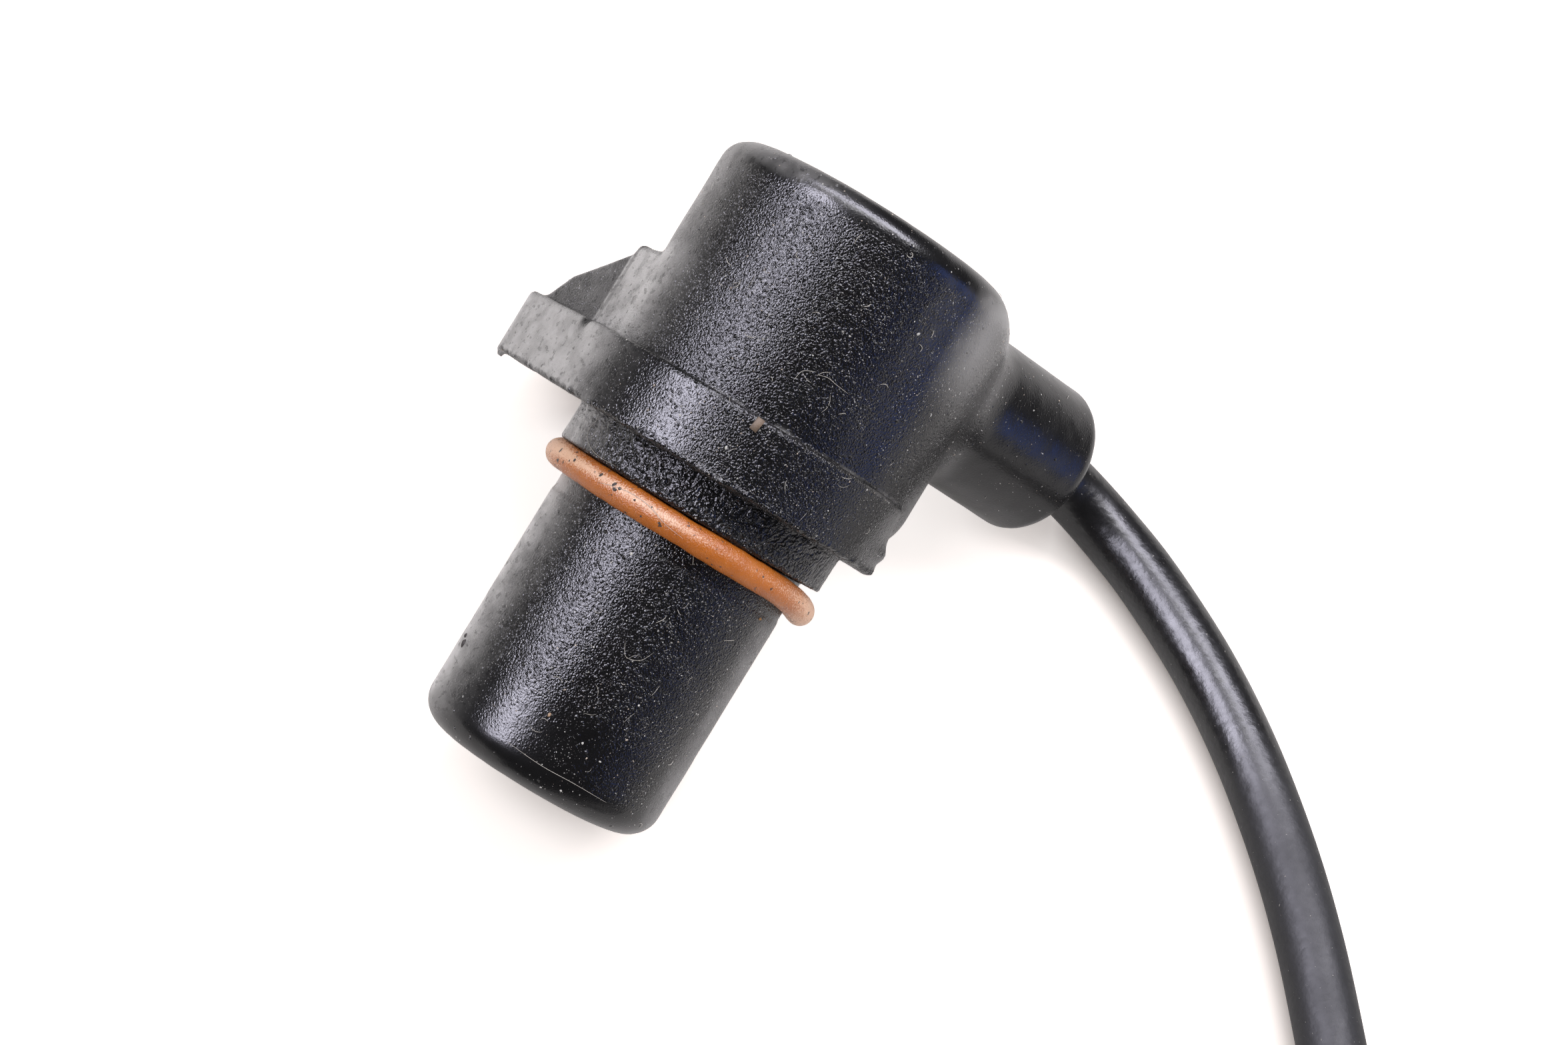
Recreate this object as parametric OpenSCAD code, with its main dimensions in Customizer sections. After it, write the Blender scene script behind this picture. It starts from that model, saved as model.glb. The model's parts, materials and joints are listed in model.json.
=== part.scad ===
// Crankshaft position sensor: a moulded pick-up with a bolt ear, a seal ring and a fixed cable.
// It lies on a table on its tip, its ear and its cable, with the tip towards +X.

/* [Barrel] */
// Diameter of the barrel that goes into the engine block
barrel_d = 18; // [16:0.1:22]
// Reach of the barrel from the flange seat to the tip face
barrel_reach = 23.9; // [22:0.1:34]
// Rounding of the edge round the tip face
tip_edge_r = 2.1; // [0.5:0.1:2.4]
// Diameter of the collar between flange and seal ring
collar_d = 20.6; // [19:0.1:23]
// Length of the collar below the flange seat
collar_len = 2.9; // [2:0.1:4]

/* [Seal ring] */
// Thickness of the seal ring's round section
ring_section = 2; // [1.5:0.1:2.6]
// Length of the groove that the seal ring sits in
groove_len = 3.1; // [2.7:0.1:4]
// Depth of that groove below the barrel's surface
groove_depth = 0.3; // [0.1:0.05:0.8]

/* [Flange and ear] */
// Radius of the flange round the barrel axis
flange_r = 12.5; // [11.5:0.1:15]
// Thickness of flange and ear
flange_t = 5; // [4:0.1:7]
// Distance from the barrel axis to the bolt hole
ear_pitch = 19.1; // [18:0.1:24]
// Radius of the ear round the bolt hole
ear_end_r = 7.15; // [6:0.05:8]
// Diameter of the bolt hole in the bush
bolt_hole_d = 6.4; // [5.3:0.1:6.6]
// Outer diameter of the bush
bush_d = 9; // [8:0.1:10]

/* [Cap] */
// Radius of the cap above the flange
cap_r = 10.9; // [10.2:0.1:12]
// Length by which the cap is drawn out towards the cable outlet
cap_oval = 2.1; // [0.5:0.1:4]
// Height of the cap above the flange seat
cap_h = 21; // [20:0.1:28]
// Rounding of the cap's top edge
cap_edge_r = 1.8; // [0.5:0.1:3]

/* [Ribs] */
// Clear width between the two ribs, for the head of the bolt
rib_gap = 11.8; // [9:0.1:12.2]
// Thickness of a rib
rib_t = 1.1; // [0.8:0.1:1.6]
// Height of the ribs above the flange
rib_h = 6.5; // [4:0.1:7]
// Distance from the barrel axis to the shoulder where the ribs start to slope
rib_shoulder = 12; // [11.5:0.1:13]
// Distance from the barrel axis to the foot of the ribs
rib_foot = 19.6; // [17:0.1:21]

/* [Cable outlet] */
// Diameter of the outlet
outlet_d = 11.6; // [10:0.1:12.4]
// Height of the outlet's axis above the flange seat
outlet_z = 13.6; // [13:0.1:14]
// Distance from the barrel axis to the outlet's end
outlet_len = 24.75; // [22:0.25:30]
// Rounding of the outlet's end
outlet_edge_r = 1.2; // [0.3:0.1:2]
// Height at which the cable holds the outlet's end above the table
outlet_rest_h = 6.5; // [5:0.1:8]

/* [Insert] */
// Diameter of the iron pole pin
pin_d = 4; // [3:0.1:5]
// Diameter of the spool's flanges
spool_d = 13; // [11:0.1:14]
// Length of the spool over both flanges
spool_len = 13; // [11:0.1:15]
// Thickness of a spool flange
spool_wall = 0.8; // [0.6:0.1:1.2]
// Plastic left in front of the spool
tip_wall = 1.5; // [1:0.1:2.5]
// Diameter of the magnet
magnet_d = 8; // [6:0.1:8.4]
// Length of the magnet
magnet_len = 5; // [4:0.1:6]
// Thickness of the terminal strips
strip_t = 0.4; // [0.3:0.05:0.5]
// Width of the terminal strips
strip_w = 1.6; // [1.2:0.1:1.8]
// Distance between the two strips, middle to middle
strip_pitch = 2.9; // [2.7:0.1:3.4]

/* [Cable and connector] */
// Diameter of the cable's jacket
cable_d = 4.8; // [4.4:0.1:5.2]
// Length of jacket held in the outlet
jacket_grip = 10; // [8:0.1:10.5]
// Radius of the cable coil at the middle of its turns
coil_r = 26; // [25:0.5:28]
// Width of the connector's shroud
shell_w = 22; // [20:0.1:26]
// Height of the connector's shroud
shell_h = 15; // [14.6:0.1:17]
// Length of the connector's shroud
shell_len = 24; // [22:0.1:30]
// Wall of the connector's shroud
shell_wall = 1.5; // [1.2:0.1:2]
// Distance between the connector's blades
blade_pitch = 5; // [4.4:0.1:5.4]

/* [Hidden] */
$fn = 64;

// Room left between the moulding and what it holds
mould_gap = 0.05;
// Overlap that makes two shapes of one moulding join
join = 0.5;

// Heights along the barrel axis, from the flange seat
tip_z = -barrel_reach;
groove_z = -collar_len - groove_len;
ring_z = -collar_len - ring_section / 2 - mould_gap;
ring_r = barrel_d / 2 - groove_depth + ring_section / 2 + mould_gap;
rib_z = flange_t + rib_h;

// Spool, pole pin and magnet, stacked up from the tip
spool_z = tip_z + tip_wall;
cup_z = spool_z + spool_len;
hub_wall = 0.8;
pin_head_t = 1.2;
cup_wall = 0.7;
cup_d = magnet_d + 2 * (cup_wall + mould_gap);
magnet_z = cup_z + pin_head_t + mould_gap;
cup_top = magnet_z + magnet_len + mould_gap;
winding_d = spool_d - 0.5;

// Terminal strips run up beside the magnet and turn into the outlet
post_wall = 0.8;
strip_y = cup_d / 2 + post_wall + strip_t / 2;
post_depth = 2 * post_wall + strip_t;
post_w = strip_pitch + strip_w + 2 * post_wall;
post_h = 4;
tail_w = 1;
crimp_d = 2.2;
crimp_len = 4;
crimp_y = strip_y + strip_t + crimp_len / 2;
crimp_bore = tail_w + 0.3;
wire_d = 1.25;
jacket_y = outlet_len - jacket_grip;
clamp_wall = 1.1;
clamp_len = 5;
clamp_y = jacket_y + 2;
mouth_chamfer = 0.5;

// Table under the sensor: its normal follows from the three places that touch
function unit(v) = v / norm(v);
function flat(v) = unit([v[0], v[1], 0]);
function tip_touch(n) = [0, 0, tip_z + tip_edge_r] - (barrel_d / 2 - tip_edge_r) * flat(n) - tip_edge_r * n;
function ear_touch(n) = [ear_pitch, 0, 0] - ear_end_r * flat(n);
function cable_touch(n) = [0, -outlet_len, outlet_z] - outlet_rest_h * n;
function table_normal(n, rounds) =
    rounds == 0 ? n
    : let (tip = tip_touch(n))
      table_normal(unit(cross(cable_touch(n) - tip, ear_touch(n) - tip)), rounds - 1);
table_z = table_normal(unit([-0.6, 0.7, 0.4]), 12);
table_x = unit([0, 0, -1] + table_z[2] * table_z);
table_y = cross(table_z, table_x);

// Farthest reach of the sensor in a direction, used to centre it on the origin
function across(d) = norm([d[0], d[1]]);
function reach(d) = max([
    (tip_z + tip_edge_r) * d[2] + (barrel_d / 2 - tip_edge_r) * across(d) + tip_edge_r,
    max(0, -cap_oval * d[1]) + (cap_h - cap_edge_r) * d[2] + (cap_r - cap_edge_r) * across(d) + cap_edge_r,
    ear_pitch * d[0] + ear_end_r * across(d) + max(0, flange_t * d[2]),
    flange_r * across(d) + max(0, flange_t * d[2]),
    (outlet_edge_r - outlet_len) * d[1] + outlet_z * d[2]
        + (outlet_d / 2 - outlet_edge_r) * norm([d[0], d[2]]) + outlet_edge_r
]);
function middle(d) = (reach(d) - reach(-d)) / 2;
lie = [
    concat(table_x, -middle(table_x)),
    concat(table_y, -middle(table_y)),
    concat(table_z, reach(-table_z)),
    [0, 0, 0, 1]
];
function laid(p) = [for (row = [0:2]) lie[row] * concat(p, 1)];

// Cable route on the table after the outlet, up to the start of the coil
coil_centre = [46.5, 55.5];
coil_start = 128;
cable_r = cable_d / 2;
route = [
    laid([0, -jacket_y - mould_gap, outlet_z]),
    laid([0, -outlet_len, outlet_z]),
    [-20.6, 19.2, 4.5],
    [-20.5, 21.8, 3.1],
    [-19.9, 24.2, 2.5],
    [-18.8, 27, cable_r],
    [-17.2, 30.2, cable_r],
    [-14.4, 35.1, cable_r],
    [-10.8, 40.2, cable_r],
    [-7.1, 44.6, cable_r],
    [-3.8, 48.1, cable_r],
    [-0.3, 51.4, cable_r],
    [5.3, 56.1, cable_r],
    [13.7, 62.7, cable_r],
    [22.1, 69.4, cable_r],
    concat(coil_centre + coil_r * [cos(coil_start), sin(coil_start)], cable_r)
];

// Coil of one and a third turns, with its last stretch lying on the first
coil_layers = 2;
coil_gap = 0.1;
tie_angle = 64;
tie_w = 4;
tie_t = 1;
tie_under = 0.6;
tie_head = 5;

// Connector on the table, facing -Y, where the cable leaves the coil
tail_straight = 8;
tail_drop = 8;
tail_lead = 4;
plug_x = coil_centre[0] + coil_r;
plug_y = coil_centre[1] - tail_straight - tail_drop - tail_lead;
plug_z = shell_h / 2;
boot_len = 13;
boot_thin = 0.9;
boot_d = 11;
boot_groove = 0.7;
neck_len = 8;
neck_d = 13;
seal_d = 9.6;
seal_len = 5;
base_t = 4;
shell_round = 2;
base_z = boot_len + neck_len;
mouth_z = base_z + shell_len;
blade_w = 2.8;
blade_t = 0.8;
blade_set = 3;
blade_back = 4;
lock_t = 1.6;
key_w = 1.6;
key_h = 1;
latch_w = 6;
latch_h = 1.6;
latch_len = 6;

// Colours of the finished pieces
black_plastic = "#17171a";
rubber_brown = "#8a4a22";
jacket_black = "#101012";
steel = "#a8abb0";
copper = "#b4622e";
brass = "#c2a04e";

// Two circles on the x axis joined by their common tangents
module tangent_pair(first_r, second_r, pitch) {
    a = acos((first_r - second_r) / pitch);
    circle(first_r);
    translate([pitch, 0]) circle(second_r);
    polygon([
        first_r * [cos(a), sin(a)],
        [pitch, 0] + second_r * [cos(a), sin(a)],
        [pitch, 0] + second_r * [cos(a), -sin(a)],
        first_r * [cos(a), -sin(a)]
    ]);
}

// Half section of a round body with a rounded outer edge at its top
module rounded_half(r, height, edge) {
    square([r, height - edge]);
    square([r - edge, height]);
    translate([r - edge, height - edge]) circle(edge);
}

// Square with rounded corners, centred
module rounded_square(w, h, r) {
    square([w - 2 * r, h], center = true);
    square([w, h - 2 * r], center = true);
    for (x = [-1, 1], y = [-1, 1])
        translate([x * (w / 2 - r), y * (h / 2 - r)]) circle(r);
}

// Ring or disc, standing on the origin
module ring(outer_d, inner_d, length) {
    rotate_extrude() translate([inner_d / 2, 0]) square([(outer_d - inner_d) / 2, length]);
}

// Turns a piece that stands on its own end into the outlet's direction, a given way out from the barrel axis
module along_outlet(x, y) {
    translate([x, -y, outlet_z]) rotate([90, 0, 0]) children();
}

// Tube swept along a row of points, with a flat ring of corners at each point
module swept_tube(points, r, sides = 12) {
    last = len(points) - 1;
    function heading(i) = unit(points[min(i + 1, last)] - points[max(i - 1, 0)]);
    function side(i) = unit(cross([0, 0, 1], heading(i)));
    function corner(i, k) =
        points[i] + r * (cos(k * 360 / sides) * side(i) + sin(k * 360 / sides) * cross(heading(i), side(i)));
    polyhedron(
        points = [for (i = [0:last], k = [0:sides - 1]) corner(i, k)],
        faces = concat(
            [[for (k = [0:sides - 1]) k]],
            [[for (k = [sides - 1:-1:0]) last * sides + k]],
            [for (i = [0:last - 1], k = [0:sides - 1])
                [i * sides + k, (i + 1) * sides + k, (i + 1) * sides + (k + 1) % sides, i * sides + (k + 1) % sides]]
        )
    );
}

// Outside of the moulding, piece by piece
module barrel_shape() {
    r = barrel_d / 2;
    rotate_extrude() {
        translate([0, groove_z]) mirror([0, 1]) rounded_half(r, groove_z - tip_z, tip_edge_r);
        translate([0, groove_z - join]) square([r - groove_depth, groove_len + 2 * join]);
        translate([0, -collar_len]) square([collar_d / 2, collar_len + join]);
    }
}

module flange_shape() {
    linear_extrude(flange_t) tangent_pair(flange_r, ear_end_r, ear_pitch);
}

module cap_shape() {
    for (y = [0, -cap_oval])
        translate([0, y, 0]) rotate_extrude() rounded_half(cap_r, cap_h, cap_edge_r);
    rotate([90, 0, 0]) linear_extrude(cap_oval)
        for (side = [0, 1]) mirror([side, 0]) rounded_half(cap_r, cap_h, cap_edge_r);
}

// Ribs on both sides of the bolt pocket, with fairings that run out of the cap
module rib_shape() {
    outer = rib_gap / 2 + rib_t;
    shoulder_drop = 0.8;
    knee = [rib_foot - 1.9, flange_t + 2.3];
    corner_angle = atan2(outer, rib_shoulder);
    tangent_angle = corner_angle + acos(cap_r / norm([rib_shoulder, outer]));
    tangent = cap_r * [cos(tangent_angle), sin(tangent_angle)];
    translate([0, 0, flange_t - join]) linear_extrude(rib_h + join)
        polygon([
            [0, 0], tangent, [rib_shoulder, outer],
            [rib_shoulder, -outer], [tangent[0], -tangent[1]]
        ]);
    for (side = [-1, 1])
        translate([0, side * (outer - rib_t / 2), 0]) rotate([90, 0, 0]) linear_extrude(rib_t, center = true)
            polygon([
                [rib_shoulder - join, flange_t - join], [rib_shoulder - join, rib_z],
                [rib_shoulder, rib_z], [rib_shoulder + join, rib_z - shoulder_drop],
                knee, [rib_foot, flange_t], [rib_foot, flange_t - join]
            ]);
}

module outlet_shape() {
    root_flare = 1.2;
    root_y = cap_oval + cap_r;
    along_outlet(0, 0) {
        rotate_extrude() rounded_half(outlet_d / 2, outlet_len, outlet_edge_r);
        translate([0, 0, root_y - root_flare])
            cylinder(h = 2 * root_flare, r1 = outlet_d / 2 + root_flare, r2 = outlet_d / 2);
    }
}

// Room that the insert and the cable fill inside the moulding
module insert_room() {
    g = mould_gap;
    translate([0, 0, tip_z - join]) cylinder(h = tip_wall + 2 * join, d = pin_d + 2 * g);
    translate([0, 0, spool_z - g]) cylinder(h = spool_len + 2 * g, d = spool_d + 2 * g);
    translate([0, 0, spool_z]) cylinder(h = cup_top - spool_z + g, d = cup_d + 2 * g);
    translate([-post_w / 2 - g, -strip_y - post_depth / 2 - g, cup_z - spool_wall - g])
        cube([post_w + 2 * g, post_depth + 2 * g, post_h + spool_wall + 2 * g]);
    for (side = [-1, 1])
        terminal_shape(side, g);
    for (side = [-1, 1])
        along_outlet(side * strip_pitch / 2, crimp_y - crimp_len / 2 - g)
            cylinder(h = crimp_len + 2 * g, d = crimp_d + 2 * g);
    for (side = [-1, 1])
        along_outlet(side * strip_pitch / 2, crimp_y)
            cylinder(h = jacket_y - crimp_y, d = wire_d + 2 * g);
    along_outlet(0, jacket_y) cylinder(h = jacket_grip + join, d = cable_d + 2 * g);
    along_outlet(0, clamp_y - g) cylinder(h = clamp_len + 2 * g, d = cable_d + 2 * clamp_wall + 2 * g);
    along_outlet(0, outlet_len - mouth_chamfer)
        cylinder(h = mouth_chamfer + join, d1 = cable_d + 2 * g, d2 = cable_d + 2 * (mouth_chamfer + join));
}

// Strip that stands beside the magnet and turns into the outlet, grown by a gap where it is room for one
module terminal_shape(side, grow) {
    x = side * strip_pitch / 2;
    foot = cup_z + post_wall;
    translate([x - strip_w / 2 - grow, -strip_y - strip_t / 2 - grow, foot - grow])
        cube([strip_w + 2 * grow, strip_t + 2 * grow, outlet_z + strip_t / 2 - foot + 2 * grow]);
    translate([x - tail_w / 2 - grow, -crimp_y - grow, outlet_z - strip_t / 2 - grow])
        cube([tail_w + 2 * grow, crimp_y - strip_y + 2 * grow, strip_t + 2 * grow]);
}

module lie_on_table() {
    multmatrix(lie) children();
}

module housing() {
    color(black_plastic) lie_on_table() difference() {
        union() {
            barrel_shape();
            flange_shape();
            cap_shape();
            rib_shape();
            outlet_shape();
        }
        insert_room();
        translate([ear_pitch, 0, -join]) cylinder(h = flange_t + 2 * join, d = bush_d + 2 * mould_gap);
    }
}

module mounting_bush() {
    color(steel) lie_on_table() translate([ear_pitch, 0, 0]) ring(bush_d, bolt_hole_d, flange_t);
}

module o_ring() {
    color(rubber_brown) lie_on_table() translate([0, 0, ring_z])
        rotate_extrude() translate([ring_r, 0]) circle(d = ring_section);
}

module pole_pin() {
    color(steel) lie_on_table() {
        translate([0, 0, tip_z]) cylinder(h = cup_z - tip_z + mould_gap, d = pin_d);
        translate([0, 0, cup_z]) cylinder(h = pin_head_t, d = magnet_d);
    }
}

module magnet() {
    color("#55565c") lie_on_table() translate([0, 0, magnet_z]) cylinder(h = magnet_len, d = magnet_d);
}

module coil_carrier() {
    bore = pin_d + 2 * mould_gap;
    hub = bore + 2 * hub_wall;
    color("#d8d2c2") lie_on_table() difference() {
        union() {
            translate([0, 0, spool_z]) ring(spool_d, bore, spool_wall);
            translate([0, 0, cup_z - spool_wall]) ring(spool_d, bore, spool_wall);
            translate([0, 0, spool_z]) ring(hub, bore, spool_len);
            translate([0, 0, cup_z - spool_wall]) ring(cup_d, magnet_d + 2 * mould_gap, cup_top - cup_z + spool_wall);
            translate([-post_w / 2, -strip_y - post_depth / 2, cup_z - spool_wall])
                cube([post_w, post_depth - post_wall / 2, post_h + spool_wall]);
        }
        translate([0, 0, cup_z]) cylinder(h = cup_top - cup_z + join, d = magnet_d + 2 * mould_gap);
        for (side = [-1, 1])
            terminal_shape(side, mould_gap);
    }
}

module coil_winding() {
    hub = pin_d + 2 * (2 * mould_gap + hub_wall);
    color(copper) lie_on_table() translate([0, 0, spool_z + spool_wall + mould_gap])
        ring(winding_d, hub, spool_len - 2 * (spool_wall + mould_gap));
}

module terminal(side) {
    color(brass) lie_on_table() terminal_shape(side, 0);
}

module terminal_left() {
    terminal(-1);
}

module terminal_right() {
    terminal(1);
}

module crimp(side) {
    color(steel) lie_on_table() along_outlet(side * strip_pitch / 2, crimp_y - crimp_len / 2)
        ring(crimp_d, crimp_bore, crimp_len);
}

module crimp_left() {
    crimp(-1);
}

module crimp_right() {
    crimp(1);
}

module core_wire(side, shade) {
    color(shade) lie_on_table() along_outlet(side * strip_pitch / 2, crimp_y + mould_gap)
        cylinder(h = jacket_y - crimp_y - mould_gap, d = wire_d);
}

module core_wire_left() {
    core_wire(-1, "#8c1f1c");
}

module core_wire_right() {
    core_wire(1, "#d9d9d4");
}

module cable_clamp() {
    color(brass) lie_on_table() along_outlet(0, clamp_y)
        ring(cable_d + 2 * clamp_wall, cable_d + mould_gap, clamp_len);
}

// Outer shape of the coil, grown by a gap where other cable is cut back from it
module coil_shape(grow) {
    translate([coil_centre[0], coil_centre[1], 0]) rotate_extrude() {
        for (layer = [0:coil_layers - 1])
            translate([coil_r, cable_r + layer * cable_d]) circle(cable_r + grow);
        translate([coil_r - cable_r - grow, cable_r]) square([cable_d + 2 * grow, (coil_layers - 1) * cable_d]);
    }
}

// Frame at the tie: x points away from the coil's centre, y up, z along the turns
module at_tie() {
    translate([coil_centre[0], coil_centre[1], 0]) rotate(tie_angle) translate([coil_r, 0, 0]) rotate([90, 0, 0])
        children();
}

module cable_run() {
    color(jacket_black) difference() {
        swept_tube(route, cable_r);
        coil_shape(coil_gap);
    }
}

// The turns give way under the tie, which passes between them and the table
module cable_coil() {
    color(jacket_black) difference() {
        coil_shape(0);
        at_tie() translate([0, tie_under / 2 - join, 0])
            cube([cable_d, tie_under + 2 * (join + coil_gap), tie_w + 2 * coil_gap], center = true);
    }
}

module coil_tie() {
    inside = cable_d + 2 * coil_gap;
    top = coil_layers * cable_d + coil_gap;
    color("#2a2a2c") at_tie() {
        difference() {
            linear_extrude(tie_w, center = true)
                translate([0, (top + tie_t) / 2]) rounded_square(inside + 2 * tie_t, top + tie_t, tie_t);
            linear_extrude(tie_w + join, center = true)
                translate([-inside / 2, tie_under]) square([inside, top - tie_under]);
        }
        translate([inside / 2 + tie_t - join, top / 2 - tie_head / 2, -tie_head / 2])
            cube([tie_t + 2 * join, tie_head, tie_head]);
    }
}

module cable_tail() {
    top = cable_r + (coil_layers - 1) * cable_d;
    points = [
        [plug_x, coil_centre[1], top],
        [plug_x, coil_centre[1] - tail_straight, top],
        [plug_x, plug_y + tail_lead, plug_z],
        [plug_x, plug_y - tail_lead, plug_z],
        [plug_x, plug_y - boot_len + mould_gap, plug_z]
    ];
    color(jacket_black) difference() {
        swept_tube(points, cable_r);
        coil_shape(coil_gap);
    }
}

// Connector frame: z runs from the boot to the open mouth, y is up
module at_plug() {
    translate([plug_x, plug_y, plug_z]) rotate([90, 0, 0]) children();
}

// Tapered sleeve with flexing grooves round the cable
module connector_boot() {
    thin_r = cable_d / 2 + boot_thin;
    grooves = 4;
    color(jacket_black) at_plug() difference() {
        cylinder(h = boot_len, r1 = thin_r, r2 = boot_d / 2);
        translate([0, 0, -join]) cylinder(h = boot_len + 2 * join, d = cable_d + 2 * mould_gap);
        for (i = [1:grooves]) {
            z = i * boot_len / (grooves + 2);
            r = thin_r + (boot_d / 2 - thin_r) * z / boot_len;
            translate([0, 0, z]) ring(boot_d + 2, 2 * r - boot_groove, boot_groove);
        }
    }
}

module wire_seal() {
    color("#7a2f22") at_plug() translate([0, 0, boot_len]) rotate_extrude() {
        square([seal_d / 2 - 0.4, seal_len]);
        for (lip = [1:3])
            translate([seal_d / 2 - 0.4, lip * seal_len / 4]) circle(0.4, $fn = 24);
    }
}

// Blades stand side by side across the connector
function blade_x(i) = (i - 2) * blade_pitch;

module blade_shape(i, grow) {
    length = mouth_z - blade_back - base_z - base_t + blade_set;
    translate([blade_x(i), 0, base_z + base_t - blade_set + length / 2])
        cube([blade_w + 2 * grow, blade_t + 2 * grow, length + 2 * grow], center = true);
}

module connector_shell() {
    color(black_plastic) at_plug() difference() {
        union() {
            translate([0, 0, boot_len]) cylinder(h = neck_len + join, d = neck_d);
            translate([0, 0, base_z]) linear_extrude(shell_len) rounded_square(shell_w, shell_h, shell_round);
            for (side = [-1, 1])
                translate([side * shell_w / 2 - key_h, -key_w / 2, base_z])
                    cube([2 * key_h, key_w, shell_len - blade_back]);
            translate([-latch_w / 2, shell_h / 2 - join, base_z + shell_len / 2]) rotate([0, 90, 0])
                linear_extrude(latch_w)
                polygon([[0, 0], [0, join + latch_h], [-latch_len, join], [-latch_len, 0]]);
        }
        translate([0, 0, base_z + base_t]) linear_extrude(shell_len)
            rounded_square(shell_w - 2 * shell_wall, shell_h - 2 * shell_wall, shell_round - shell_wall + join);
        translate([0, 0, boot_len - join]) cylinder(h = seal_len + mould_gap + join, d = seal_d + 2 * mould_gap);
        for (i = [1:3])
            blade_shape(i, mould_gap);
    }
}

module contact_pin(i) {
    color(brass) at_plug() blade_shape(i, 0);
}

module contact_pin_1() {
    contact_pin(1);
}

module contact_pin_2() {
    contact_pin(2);
}

module contact_pin_3() {
    contact_pin(3);
}

// Comb that lies on the connector's floor round the blades
module pin_lock() {
    room = 0.2;
    color("#b8b4a8") at_plug() difference() {
        translate([0, 0, base_z + base_t + mould_gap]) linear_extrude(lock_t)
            rounded_square(shell_w - 2 * (shell_wall + room), shell_h - 2 * (shell_wall + room), join);
        for (i = [1:3])
            blade_shape(i, mould_gap);
    }
}

housing();
mounting_bush();
o_ring();
pole_pin();
magnet();
coil_carrier();
coil_winding();
terminal_left();
terminal_right();
crimp_left();
crimp_right();
core_wire_left();
core_wire_right();
cable_clamp();
cable_run();
cable_coil();
coil_tie();
cable_tail();
connector_boot();
wire_seal();
connector_shell();
contact_pin_1();
contact_pin_2();
contact_pin_3();
pin_lock();
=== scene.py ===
import json

import bpy
import numpy as np
from mathutils import Matrix


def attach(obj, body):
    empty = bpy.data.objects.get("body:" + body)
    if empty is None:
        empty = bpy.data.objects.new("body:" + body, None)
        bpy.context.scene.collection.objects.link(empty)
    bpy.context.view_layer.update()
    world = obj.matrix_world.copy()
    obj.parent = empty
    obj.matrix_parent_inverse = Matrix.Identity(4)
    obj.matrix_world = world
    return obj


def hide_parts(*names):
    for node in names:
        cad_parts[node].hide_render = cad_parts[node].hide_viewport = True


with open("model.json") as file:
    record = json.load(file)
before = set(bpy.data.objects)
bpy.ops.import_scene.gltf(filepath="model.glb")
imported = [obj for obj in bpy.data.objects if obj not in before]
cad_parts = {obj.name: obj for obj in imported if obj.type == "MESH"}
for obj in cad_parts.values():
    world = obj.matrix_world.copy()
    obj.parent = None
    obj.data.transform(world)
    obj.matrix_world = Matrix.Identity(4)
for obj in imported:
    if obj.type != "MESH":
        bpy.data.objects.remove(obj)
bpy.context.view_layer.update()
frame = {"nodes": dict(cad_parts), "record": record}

# The sensor as it lies on the table, on the rim of its tip, the end of its ear and its cable.
# In its own frame z runs up the barrel from the flange seat to the cap, x to the bolt hole and the outlet
# along -y. The moulding's sizes below are in millimetres in that frame.
MM = 0.001
mounts = {mount["name"]: mount for mount in frame["record"]["mounts"]}


def unit(vector):
    """The vector divided by its length, row by row."""
    vector = np.asarray(vector, float)
    return vector / np.linalg.norm(vector, axis=-1, keepdims=True)


barrel_middle = np.array(mounts["barrel"]["pos_m"])
bolt_middle = np.array(mounts["bolt_hole"]["pos_m"])
up_barrel = -unit(mounts["barrel"]["axis"])
seat = barrel_middle + up_barrel * ((np.array(mounts["flange_seat"]["pos_m"]) - barrel_middle) @ up_barrel)
to_bolt = bolt_middle - seat
to_bolt = to_bolt - up_barrel * (to_bolt @ up_barrel)
ear_pitch = np.linalg.norm(to_bolt) / MM
sensor_axes = np.array([unit(to_bolt), np.cross(up_barrel, unit(to_bolt)), up_barrel])


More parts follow.
